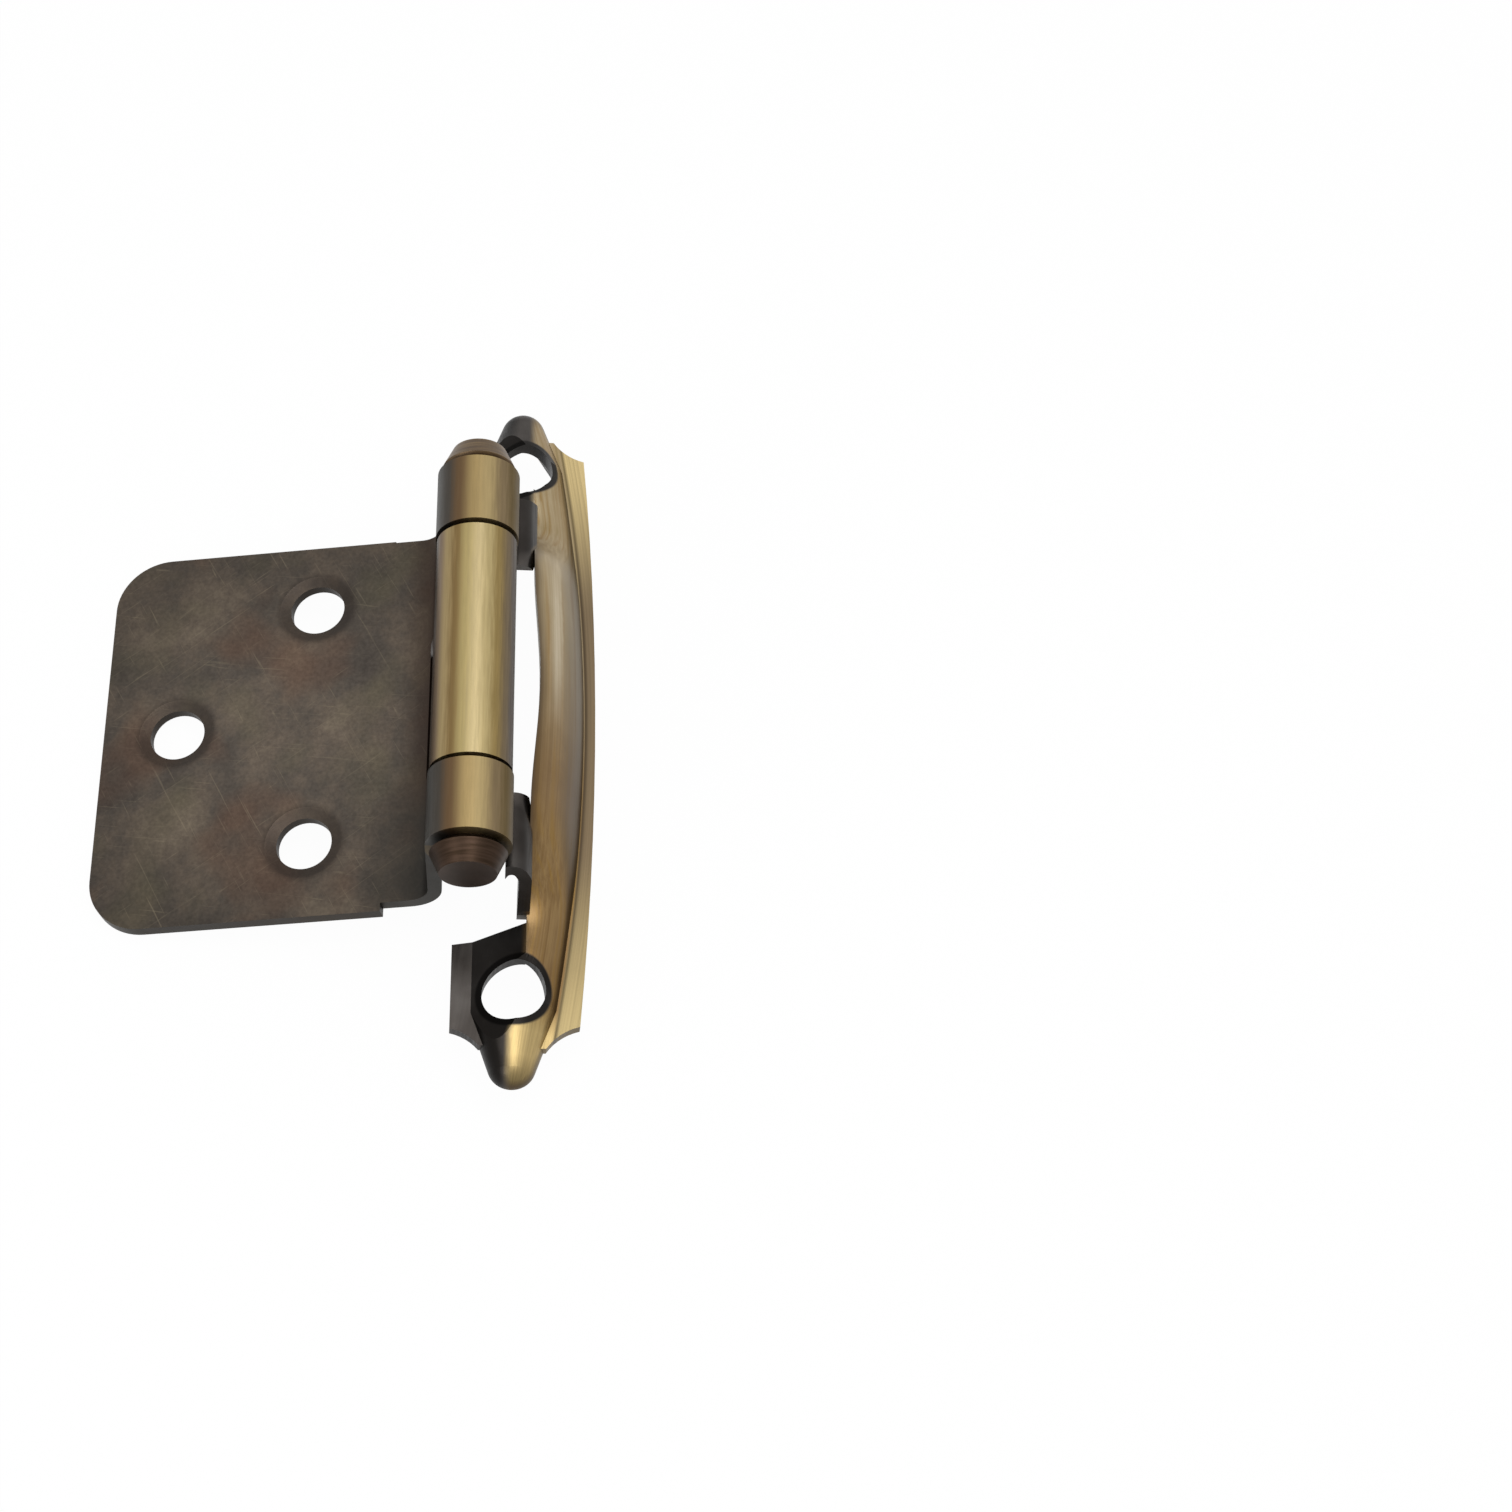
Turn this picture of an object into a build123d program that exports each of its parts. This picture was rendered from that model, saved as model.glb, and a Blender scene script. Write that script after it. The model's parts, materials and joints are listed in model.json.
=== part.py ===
"""Overlay cabinet hinge, self-closing, millimetres.

X runs along the pin, +Y points to the bowed outer edge of the frame leaf, +Z away from the
cabinet. The back of the frame leaf lies on z = 0 and the origin is midway between its two
screw holes. The door leaf is drawn as it lies off the cabinet, pulled past closed by its spring.
"""
import os
from math import acos, asin, cos, degrees, hypot, pi, radians, sin, sqrt

from build123d import *

# Sheet, pin and fits
sheet = 1.1
door_sheet = 1.22
pin_radius = 2.4
running_clearance = 0.05
knuckle_bore = pin_radius + running_clearance
knuckle_radius = knuckle_bore + sheet
roll_radius = knuckle_bore + sheet / 2
door_roll_radius = knuckle_bore + door_sheet / 2
seam_gap = 0.44
leaf_clearance = 0.4
pin_height = 13.45
pin_offset = 4.3

# Door leaf, measured from the pin with its plate level
leaf_width = 38.1
half_width = leaf_width / 2
over_close_angle = 13.3
plate_drop = 9.25
plate_reach = 36.2
barrel_half = 18.6
plate_corner = 5.0
plate_shift = 0.35
plate_step = 9.8
door_wall_angle = 79.0
door_bend = 2.2
door_roll_angle = 300.0
middle_half = 11.48
outer_start = middle_half + seam_gap
ledge_drop = 3.5
cutout_half = 7.9
cutout_edge = 6.0
cutout_corner = 1.2
ledge_fillet = 1.0
screw_radius = 2.5
door_hole_x = 12.1
door_hole_y = 17.0
door_hole_far = 29.4
door_dish_radius = 3.5
door_dish_depth = 0.3

# Frame leaf, z from its back
frame_hole_x = 26.9
ridge_radius = 3.9
ridge_half = 28.0
ridge_start = 20.5
ridge_bow = 2.1
crest_end_y = 0.95
crest_bow = 0.65
arch_half = 11.6
arch_drop = 3.25
finial_length = 6.9
finial_nose = 2.1
flange_end = ridge_half + 1.4
flange_end_y = 5.8
flange_bow = 1.2
flange_neck = (ridge_half + 3.5, 2.9)
flange_hollow = 0.34
tab_end = ridge_half + 1.8
tab_start = 21.95
tab_top = 20.9
tab_edge = 5.4
tab_fold = 3.63
tab_neck = (ridge_half + 3.3, 2.9)
tab_hollow = 0.25
frame_screw_radius = 2.75
sink_radius = 3.3
sink_depth = 0.4
arm_foot_half = 20.2
arm_top_half = 18.0
arm_bend = 0.95
arm_lean_start = 5.0
arm_apex = (3.75, -2.7)
arm_sink = 0.9
arm_lap = 0.25
link_half = 15.5
link_bottom = 12.0
bar_top = 6.2
root_half = 9.15
root_angle = 215.0
roll_end_angle = -50.0

# Pin tips and closing spring
tip_back = 2.8
tip_rim = 3.3
tip_bevel = 0.45
tip_end = 2.45
tip_length = 2.35
tip_gap = 0.25
tip_grip = 1.4
spring_width = 12.7
spring_sheet = 0.6
spring_foot = 10.0
spring_heel = 5.0
spring_bend = 1.0
spring_crease = (-4.0, -4.9)
spring_tip = (-3.62, -2.14)


def at_pin(shape, turn=0.0):
    """Places a shape drawn round the pin axis, turned about it, in the part frame."""
    return Pos(0, -pin_offset, pin_height) * Rot(turn, 0, 0) * shape


def strip(lines, thickness, half_length):
    """Bends a strip of sheet along a centreline drawn across the pin."""
    face = Plane.YZ * trace(lines, line_width=thickness)
    return extrude(face, half_length, both=True)


def on_circle(radius, angle):
    return (radius * cos(radians(angle)), radius * sin(radians(angle)))


def block(x0, x1, y0, y1, z0, z1):
    return Pos((x0 + x1) / 2, (y0 + y1) / 2, (z0 + z1) / 2) * Box(x1 - x0, y1 - y0, z1 - z0)


def both_ends(shape):
    return shape + mirror(shape, Plane.YZ)


# Door leaf: plate, bend, wall and two rolled knuckles in one strip
wall_normal = door_wall_angle + 90
wall_top = on_circle(door_roll_radius, wall_normal)
plate_middle = -plate_drop - door_sheet / 2
wall_run = (wall_top[1] - plate_middle) / sin(radians(door_wall_angle))
plate_corner_point = (wall_top[0] - wall_run * cos(radians(door_wall_angle)), plate_middle)
door_line = FilletPolyline(
    (-plate_reach, plate_middle), plate_corner_point, wall_top, radius=door_bend + door_sheet / 2
)
door_roll = CenterArc((0, 0), door_roll_radius, wall_normal, -door_roll_angle)
knuckles = strip(door_roll, door_sheet, half_width + plate_shift)
knuckles -= Box(2 * outer_start, 3 * knuckle_radius, 3 * knuckle_radius)
door_leaf = strip(door_line, door_sheet, half_width + plate_shift) + knuckles

# Outline of the plate, which sits a little to one side of the barrel part
plate_outline = Pos(plate_shift, -plate_reach / 2) * Rectangle(leaf_width, plate_reach)
plate_outline = fillet(plate_outline.vertices().group_by(Axis.Y)[0], plate_corner)
plate_outline -= Pos(0, plate_reach / 2 - plate_step) * Rectangle(2 * leaf_width, plate_reach)
barrel_outline = Pos(0, plate_reach / 2 - plate_step) * Rectangle(2 * barrel_half, plate_reach)
door_leaf &= Pos(0, 0, -2 * plate_drop) * extrude(plate_outline + barrel_outline, 4 * plate_drop)

# Space between the outer knuckles, ledges below it and the cut-out for the spring
gap_sketch = Pos(0, plate_reach / 2 - ledge_drop) * Rectangle(2 * outer_start, plate_reach)
gap_sketch = fillet(gap_sketch.vertices().group_by(Axis.Y)[0], ledge_fillet)
door_leaf -= Pos(0, plate_step, 0) * extrude(Plane.XZ * gap_sketch, 2 * plate_step)
cutout = Pos(0, plate_step - cutout_edge) * Rectangle(2 * cutout_half, 2 * plate_step)
cutout = fillet(cutout.vertices().group_by(Axis.Y)[0], cutout_corner)
door_leaf -= Pos(0, 0, -2 * plate_drop) * extrude(cutout, 4 * plate_drop)

# Recess under the plate that takes the foot of the spring
recess_top = -plate_drop - door_sheet + spring_sheet
door_leaf -= block(
    -spring_width / 2, spring_width / 2, -spring_foot, 0, recess_top - door_sheet, recess_top
)

# Screw holes with a shallow pressed ring
door_screw = Cylinder(screw_radius, 3 * door_sheet)
door_dish = Pos(0, 0, (door_sheet - door_dish_depth) / 2) * Cone(
    screw_radius, door_dish_radius, door_dish_depth
)
for x, y in ((door_hole_x, door_hole_y), (-door_hole_x, door_hole_y), (0, door_hole_far)):
    door_leaf -= Pos(x, -y, plate_middle) * (door_screw + door_dish)
door_leaf = at_pin(door_leaf, over_close_angle)

# Frame leaf: its ends are half-round ridges with a finial, sloped off to a tab on the barrel side
crest_end_z = sqrt(ridge_radius**2 - crest_end_y**2)
crest_middle_z = pin_height - arch_drop
slope = (crest_end_z - sheet) / (crest_end_y + tab_fold)
nose_x = ridge_half + finial_length - finial_nose


def sloped_side(inset):
    """Space above the sloped side and the tab, lowered by the inset."""
    drop = inset * sqrt(1 + slope**2)
    side = make_face(Polyline(
        (crest_end_y, crest_end_z - drop), (-tab_fold, sheet - drop), (-3 * tab_fold, sheet - drop),
        (-3 * tab_fold, 2 * ridge_radius), (crest_end_y, 2 * ridge_radius), close=True,
    ))
    return extrude(Plane.YZ * side, 2 * ridge_half)


# Outside of the right end, with a tapered and round-nosed finial, and the hollow under it
nose_run = hypot(nose_x - ridge_half, ridge_radius)
nose_turn = 180 - degrees(asin(ridge_radius / nose_run) + acos(finial_nose / nose_run))
nose_spot = on_circle(finial_nose, nose_turn)
end_profile = make_face([
    Polyline(
        (nose_x + finial_nose, 0), (ridge_start, 0), (ridge_start, ridge_radius),
        (ridge_half, ridge_radius), (nose_x + nose_spot[0], nose_spot[1]),
    ),
    CenterArc((nose_x, 0), finial_nose, nose_turn, -nose_turn),
])
hollow_radius = ridge_radius - sheet
hollow_profile = make_face(Polyline(
    (nose_x, 0), (ridge_start, 0), (ridge_start, hollow_radius), (ridge_half, hollow_radius), close=True
))
end_form = revolve(end_profile, Axis.X, 180) - sloped_side(0)
end_hollow = revolve(hollow_profile, Axis.X, 180) - sloped_side(sheet)


def hollow_edge(start, end, depth):
    """Edge between two points, hollowed to the right of its run."""
    run_x = end[0] - start[0]
    run_y = end[1] - start[1]
    run = hypot(run_x, run_y)
    middle_x = (start[0] + end[0]) / 2 + depth * run_y / run
    middle_y = (start[1] + end[1]) / 2 - depth * run_x / run
    return ThreePointArc(start, (middle_x, middle_y), end)


def bow_at(x):
    return ridge_bow * (1 - (x / ridge_half) ** 2)


def fade(x, start, end):
    """Smooth fall from one at the start to none at the end."""
    return (1 + cos(pi * min(1.0, max(0.0, (abs(x) - start) / (end - start))))) / 2


def crest_at(x):
    return crest_end_z + (crest_middle_z - crest_end_z) * fade(x, arch_half, ridge_start)


def flank_section(x):
    """Section of the flank: upright at its foot and curved over to the crest."""
    foot = ridge_radius + bow_at(x)
    reach = foot - crest_end_y - crest_bow * fade(x, 0, arch_half + sheet)
    radius = (reach**2 + crest_at(x) ** 2) / (2 * reach)
    angle = degrees(acos(1 - reach / radius))
    outer = CenterArc((0, 0), radius, 0, angle)
    inner = CenterArc((0, 0), radius - sheet, 0, degrees(acos((radius - reach) / (radius - sheet))))
    face = make_face([outer, Line(outer @ 1, inner @ 1), inner, Line(inner @ 0, outer @ 0)])
    return Plane((x, foot - radius, 0), x_dir=(0, 1, 0), z_dir=(1, 0, 0)) * face


# Flange, tabs and the two ends
flange_foot = ridge_radius + bow_at(ridge_start) - sheet / 2
flange_middle = ridge_radius + ridge_bow - sheet / 2
far_neck = (-flange_neck[0], flange_neck[1])
flange_sketch = make_face([
    ThreePointArc(
        (-flange_end, flange_end_y), (0, flange_end_y + flange_bow), (flange_end, flange_end_y)
    ),
    hollow_edge((flange_end, flange_end_y), flange_neck, flange_hollow),
    Polyline(flange_neck, (flange_neck[0], 0), (ridge_start, 0), (ridge_start, flange_foot)),
    ThreePointArc((ridge_start, flange_foot), (0, flange_middle), (-ridge_start, flange_foot)),
    Polyline((-ridge_start, flange_foot), (-ridge_start, 0), (-flange_neck[0], 0), far_neck),
    hollow_edge(far_neck, (-flange_end, flange_end_y), flange_hollow),
])
tab_corner = (tab_neck[0], -tab_neck[1])
tab_sketch = make_face([
    Polyline(tab_corner, (tab_neck[0], 0), (ridge_start, 0), (ridge_start, -tab_edge), (tab_end, -tab_edge)),
    hollow_edge(tab_corner, (tab_end, -tab_edge), tab_hollow),
])
ridge_end = extrude(tab_sketch, sheet) + end_form
frame_leaf = extrude(flange_sketch, sheet) + both_ends(ridge_end) - both_ends(end_hollow)
inner_cut = make_face(Polyline(
    (tab_start, -tab_edge), (tab_top, crest_end_y), (arch_half, crest_end_y), (arch_half, -2 * tab_edge),
    (tab_start, -2 * tab_edge), close=True,
))
frame_leaf -= both_ends(extrude(inner_cut, 2 * ridge_radius))

# Arched flank between the two ends
rise = ridge_start - arch_half
stations = [arch_half * part / 4 for part in range(4)]
stations += [arch_half + rise * part / 4 for part in range(5)]
stations += [(ridge_start + ridge_half) / 2, ridge_half]
stations = [-x for x in reversed(stations[1:])] + stations
frame_leaf += loft([flank_section(x) for x in stations])

# Arms: up from the crest, over beside the outer knuckles and down to a cross-bar behind the door
lean = radians(door_wall_angle + over_close_angle - 90)
root_y = leaf_clearance + sheet / 2 - (knuckle_bore - plate_drop * sin(lean)) / cos(lean)
arm_y = crest_end_y + arm_lap + pin_offset - sheet / 2
arm_line = FilletPolyline(
    (arm_y, crest_end_z - sheet - pin_height), (arm_y, -arm_lean_start), arm_apex,
    (root_y, -link_bottom), (root_y, -bar_top), radius=arm_bend,
)
arms = strip(arm_line, sheet, arm_foot_half)
arm_side = arm_apex[0] - sheet / 2
arm_outline = make_face(Polyline(
    *[(x, crest_at(x) - arm_sink - pin_height) for x in stations if arch_half <= x < arm_foot_half],
    (arm_foot_half, crest_end_z - arm_sink - pin_height), (arm_foot_half, crest_end_z - pin_height),
    (arm_top_half, 0), (arch_half, 0), close=True,
))
arm_depth = pin_offset + ridge_radius
arm_zone = Pos(0, arm_side + arm_depth, 0) * extrude(Plane.XZ * arm_outline, arm_depth)
link_zone = block(-link_half, link_half, -pin_offset, arm_side, -pin_height, 0)
link_zone -= block(-arch_half, arch_half, sheet / 4, pin_offset, -link_bottom, 0)
arms &= both_ends(arm_zone) + link_zone

# Middle knuckle rolled from a narrower root
roll_start = on_circle(roll_radius, root_angle)
root_slope = -cos(radians(root_angle)) / sin(radians(root_angle))
root_turn = (root_y, roll_start[1] - (roll_start[0] - root_y) * root_slope)
root_line = FilletPolyline((root_y, -bar_top - sheet), root_turn, roll_start, radius=arm_bend)
root = strip(root_line, sheet, root_half)
middle_roll = CenterArc((0, 0), roll_radius, root_angle, roll_end_angle - root_angle)
middle_knuckle = strip(middle_roll, sheet, middle_half)
frame_leaf += at_pin(arms + root + middle_knuckle)

# Screw holes through the ridge, each with a shallow sink on the crest
screw_cut = Cylinder(frame_screw_radius, 4 * ridge_radius)
screw_cut += Pos(0, 0, crest_end_z - sink_depth / 2) * Cone(frame_screw_radius, sink_radius, sink_depth)
frame_leaf -= both_ends(Pos(frame_hole_x, 0, 0) * screw_cut)

# Pin and its two pressed tips
tip_start = barrel_half + tip_gap
hinge_pin = at_pin(Rot(0, 90, 0) * Cylinder(pin_radius, 2 * (tip_start + tip_grip)))
tip_profile = make_face(Polyline(
    (tip_start, 0), (tip_start, tip_back), (tip_start + tip_bevel, tip_rim),
    (tip_start + tip_length, tip_end), (tip_start + tip_length, 0), close=True,
))
pin_tip_right = at_pin(revolve(Plane.XY * tip_profile, Axis.X, 360)) - hinge_pin
pin_tip_left = mirror(pin_tip_right, Plane.YZ)

# Closing spring: foot under the plate, up through the cut-out, its tip near the middle knuckle
foot_middle = recess_top - spring_sheet / 2
spring_line = FilletPolyline(
    (-spring_foot, foot_middle), (-spring_heel, foot_middle), spring_crease, spring_tip,
    radius=spring_bend,
)
closing_spring = at_pin(strip(spring_line, spring_sheet, spring_width / 2), over_close_angle)

os.makedirs("parts", exist_ok=True)
for name, shape in (
    ("frame_leaf", frame_leaf),
    ("door_leaf", door_leaf),
    ("hinge_pin", hinge_pin),
    ("pin_tip_left", pin_tip_left),
    ("pin_tip_right", pin_tip_right),
    ("closing_spring", closing_spring),
):
    export_step(shape, f"parts/{name}.step")
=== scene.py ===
"""Overlay cabinet hinge in antique brass: dark plated steel, buffed to gold on its high faces."""
import json
import math
from types import SimpleNamespace

import bpy
from mathutils import Matrix, Vector


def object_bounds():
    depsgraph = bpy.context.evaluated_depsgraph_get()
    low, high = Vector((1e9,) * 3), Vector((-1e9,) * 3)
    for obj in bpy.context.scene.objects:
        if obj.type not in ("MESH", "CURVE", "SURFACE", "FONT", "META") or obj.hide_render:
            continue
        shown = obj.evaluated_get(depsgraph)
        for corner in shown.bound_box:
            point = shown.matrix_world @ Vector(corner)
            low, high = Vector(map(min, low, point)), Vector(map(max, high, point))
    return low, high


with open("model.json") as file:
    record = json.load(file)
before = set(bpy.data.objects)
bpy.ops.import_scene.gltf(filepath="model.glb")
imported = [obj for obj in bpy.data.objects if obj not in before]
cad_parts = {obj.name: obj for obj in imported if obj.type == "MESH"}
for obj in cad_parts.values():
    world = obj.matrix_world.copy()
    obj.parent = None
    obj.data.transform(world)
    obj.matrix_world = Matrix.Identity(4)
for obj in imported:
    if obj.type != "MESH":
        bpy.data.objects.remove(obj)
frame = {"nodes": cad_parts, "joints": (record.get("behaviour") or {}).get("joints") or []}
cad_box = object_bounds()

MM = 0.001

# Where the hinge's features lie, in millimetres
joint = frame["joints"][0]
pin_y = joint["pos_m"][1] / MM
pin_z = joint["pos_m"][2] / MM
over_close_deg = 13.3
middle_radius = 3.55
outer_radius = 3.67
ridge_foot = 3.9
ridge_half = 28.0
ridge_start = 20.5
ridge_bow = 2.1
crest_y = 0.95
crest_bow = 0.65
arch_half = 11.6
arch_top = 10.2
flange_top = 1.1
frame_hole_x = 26.9
frame_ring_radius = 3.3
finial_end = 34.9
door_hole_x = 12.1
door_hole_y = -17.0
door_hole_far = -29.4
door_ring_radius = 3.6
door_wall_y = -4.4
plate_middle = (0.0, -20.0, 0.0)

# Most values of a noise pattern lie between these two
noise_low = 0.3
noise_high = 0.7

# Depth of the marks that brushing, tumbling and turning leave, and how strongly they show
mark_depth = 0.02 * MM
mark_strength = 0.1


def to_linear(colour):
    """Turns an sRGB hex colour into linear RGBA."""
    values = [int(colour[i:i + 2], 16) / 255 for i in (1, 3, 5)]
    linear = [v / 12.92 if v <= 0.04045 else ((v + 0.055) / 1.055) ** 2.4 for v in values]
    return (*linear, 1.0)


def add(tree, kind, inputs=None, **settings):
    """Adds a node with its settings, and fills its inputs with links or values."""
    made = tree.nodes.new(kind)
    for key, value in settings.items():
        setattr(made, key, value)
    for key, value in (inputs or {}).items():
        if isinstance(value, bpy.types.NodeSocket):
            tree.links.new(value, made.inputs[key])
        else:
            made.inputs[key].default_value = value
    return made


def new_finish(name):
    """A material with an empty tree."""
    finish = bpy.data.materials.new(name)
    finish.use_nodes = True
    finish.node_tree.nodes.clear()
    return finish, finish.node_tree


def metal_surface(tree, colour, roughness, height):
    """Ends a tree with a metal surface, whose fine marks stand out by the given height."""
    relief = add(tree, "ShaderNodeBump", {
        "Height": height, "Strength": mark_strength, "Distance": mark_depth})
    surface = add(tree, "ShaderNodeBsdfPrincipled", {
        "Base Color": colour, "Metallic": 1.0, "Roughness": roughness,
        "Normal": relief.outputs[0]})
    add(tree, "ShaderNodeOutputMaterial", {"Surface": surface.outputs[0]})


def leaf_place(tree, turn_deg=0.0, middle=(0.0, 0.0)):
    """Millimetre coordinates of a leaf, level, with the chosen middle as zero."""
    held = add(tree, "ShaderNodeTexCoord")
    level = add(tree, "ShaderNodeMapping", {
        "Vector": held.outputs["Object"],
        "Location": (0.0, middle[0] * MM, middle[1] * MM),
        "Rotation": (math.radians(turn_deg), 0.0, 0.0),
        "Scale": (MM, MM, MM),
    }, vector_type="TEXTURE")
    return level.outputs[0]


def set_ramp(ramp, steps):
    """Fills a colour ramp with sRGB colours at the given spots."""
    while len(ramp.elements) < len(steps):
        ramp.elements.new(0.5)
    for element, (spot, colour) in zip(ramp.elements, steps):
        element.position = spot
        element.color = to_linear(colour)


def barrel_gold_and_painted_light(tree, radius, steps):
    """Colour round a knuckle from its frame side to its door side, and a mask of the knuckle.

    The top of the roll is buffed to gold along the pin and the sides keep the dark plating; the ramp
    also paints a highlight band along the top and shade down the sides.
    """
    fade_out = 0.25
    fade_in = 0.05
    stroke_length = 4.0
    stroke_width = 0.25
    stroke_contrast = 0.09
    sway = 0.2
    x, y, z = add(tree, "ShaderNodeSeparateXYZ", {
        0: leaf_place(tree, middle=(pin_y, pin_z))}).outputs
    across = add(tree, "ShaderNodeCombineXYZ", {1: y, 2: z})
    reach = add(tree, "ShaderNodeVectorMath", {0: across.outputs[0]}, operation="LENGTH")
    on_roll = add(tree, "ShaderNodeMapRange", {
        "Value": reach.outputs["Value"],
        "From Min": radius + fade_out, "From Max": radius + fade_in,
    }, interpolation_type="SMOOTHSTEP")
    angle = add(tree, "ShaderNodeMath", {0: z, 1: y}, operation="ARCTAN2").outputs[0]
    # Buffing lines lie along the pin, four to the millimetre round the roll and some 4 mm long
    strokes = add(tree, "ShaderNodeTexNoise", {
        "Vector": add(tree, "ShaderNodeCombineXYZ", {
            0: add(tree, "ShaderNodeMath", {
                0: x, 1: 1 / stroke_length}, operation="MULTIPLY").outputs[0],
            1: add(tree, "ShaderNodeMath", {
                0: angle, 1: radius / stroke_width}, operation="MULTIPLY").outputs[0],
        }).outputs[0],
        "Scale": 1.0, "Detail": 3.0, "Roughness": 0.6,
    }).outputs[0]
    # The lines sway a little round the roll, so the gold has no straight border
    turn = add(tree, "ShaderNodeMath", {
        0: strokes, 1: sway,
        2: add(tree, "ShaderNodeMath", {0: angle, 1: sway / 2}, operation="SUBTRACT").outputs[0],
    }, operation="MULTIPLY_ADD")
    share = add(tree, "ShaderNodeMapRange", {
        "Value": turn.outputs[0], "From Min": 0.0, "From Max": math.pi})
    # The ramp round the roll paints the knuckle's highlight and shade into its colour
    roll_painted_light_ramp = add(tree, "ShaderNodeValToRGB", {0: share.outputs[0]})
    roll_painted_light_ramp.color_ramp.interpolation = "EASE"
    set_ramp(roll_painted_light_ramp.color_ramp, steps)
    tone = add(tree, "ShaderNodeMapRange", {
        "Value": strokes, "From Min": noise_low, "From Max": noise_high,
        "To Min": 1 - stroke_contrast, "To Max": 1 + stroke_contrast})
    toned = add(tree, "ShaderNodeVectorMath", {
        0: roll_painted_light_ramp.outputs[0], 1: tone.outputs[0]}, operation="MULTIPLY")
    return toned.outputs[0], on_roll.outputs[0]


def frame_leaf_guides(tree):
    """Places on the frame leaf and the patterns on it, which its finishes share."""
    streak_length = 33.3
    streaks_a_radian = 11.0
    streak_width = 0.2
    cloud_width = 6.25
    streak_contrast = (0.78, 1.2)
    place = leaf_place(tree)
    x, y, z = add(tree, "ShaderNodeSeparateXYZ", {0: place}).outputs
    facing = add(tree, "ShaderNodeSeparateXYZ", {
        0: add(tree, "ShaderNodeTexCoord").outputs["Normal"]}).outputs
    tilt = add(tree, "ShaderNodeMath", {
        0: facing[2], 1: facing[1]}, operation="ARCTAN2").outputs[0]
    round_flank = add(tree, "ShaderNodeMath", {
        0: tilt, 1: 1 / math.pi}, operation="MULTIPLY").outputs[0]
    along = add(tree, "ShaderNodeMath", {0: x}, operation="ABSOLUTE").outputs[0]
    # The foot of the flank is bowed outward in the middle
    bow = add(tree, "ShaderNodeMath", {
        0: add(tree, "ShaderNodeMath", {0: x, 1: x}, operation="MULTIPLY").outputs[0],
        1: -ridge_bow / ridge_half ** 2, 2: ridge_bow + ridge_foot,
    }, operation="MULTIPLY_ADD").outputs[0]
    past_foot = add(tree, "ShaderNodeMath", {0: y, 1: bow}, operation="SUBTRACT").outputs[0]
    # The crest is arched in the middle and drops to the ends of the ridge
    crest_height = add(tree, "ShaderNodeMapRange", {
        "Value": along, "From Min": arch_half, "From Max": ridge_start,
        "To Min": arch_top, "To Max": ridge_foot}, interpolation_type="SMOOTHSTEP").outputs[0]
    above_crest = add(tree, "ShaderNodeMath", {
        0: z, 1: crest_height}, operation="SUBTRACT").outputs[0]
    # Brushed streaks follow the ridge: five to the millimetre across the flange, some 3 cm long
    along_ridge = add(tree, "ShaderNodeCombineXYZ", {0: x, 1: tilt, 2: past_foot}).outputs[0]
    streaks = add(tree, "ShaderNodeTexNoise", {
        "Vector": add(tree, "ShaderNodeVectorMath", {
            0: along_ridge, 1: (1 / streak_length, streaks_a_radian, 1 / streak_width),
        }, operation="MULTIPLY").outputs[0],
        "Scale": 1.0, "Detail": 4.0, "Roughness": 0.6,
    }).outputs[0]
    streak_tone = add(tree, "ShaderNodeMapRange", {
        "Value": streaks, "From Min": noise_low, "From Max": noise_high,
        "To Min": streak_contrast[0], "To Max": streak_contrast[1]}).outputs[0]
    # Clouds in the plating are about 6 mm wide
    clouds = add(tree, "ShaderNodeTexNoise", {
        "Vector": place, "Scale": 1 / cloud_width, "Detail": 3.0, "Roughness": 0.55}).outputs[0]
    return SimpleNamespace(
        x=x, y=y, z=z, facing=facing, round_flank=round_flank, along=along, past_foot=past_foot,
        above_crest=above_crest, along_ridge=along_ridge, streaks=streaks, streak_tone=streak_tone,
        clouds=clouds)


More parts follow.
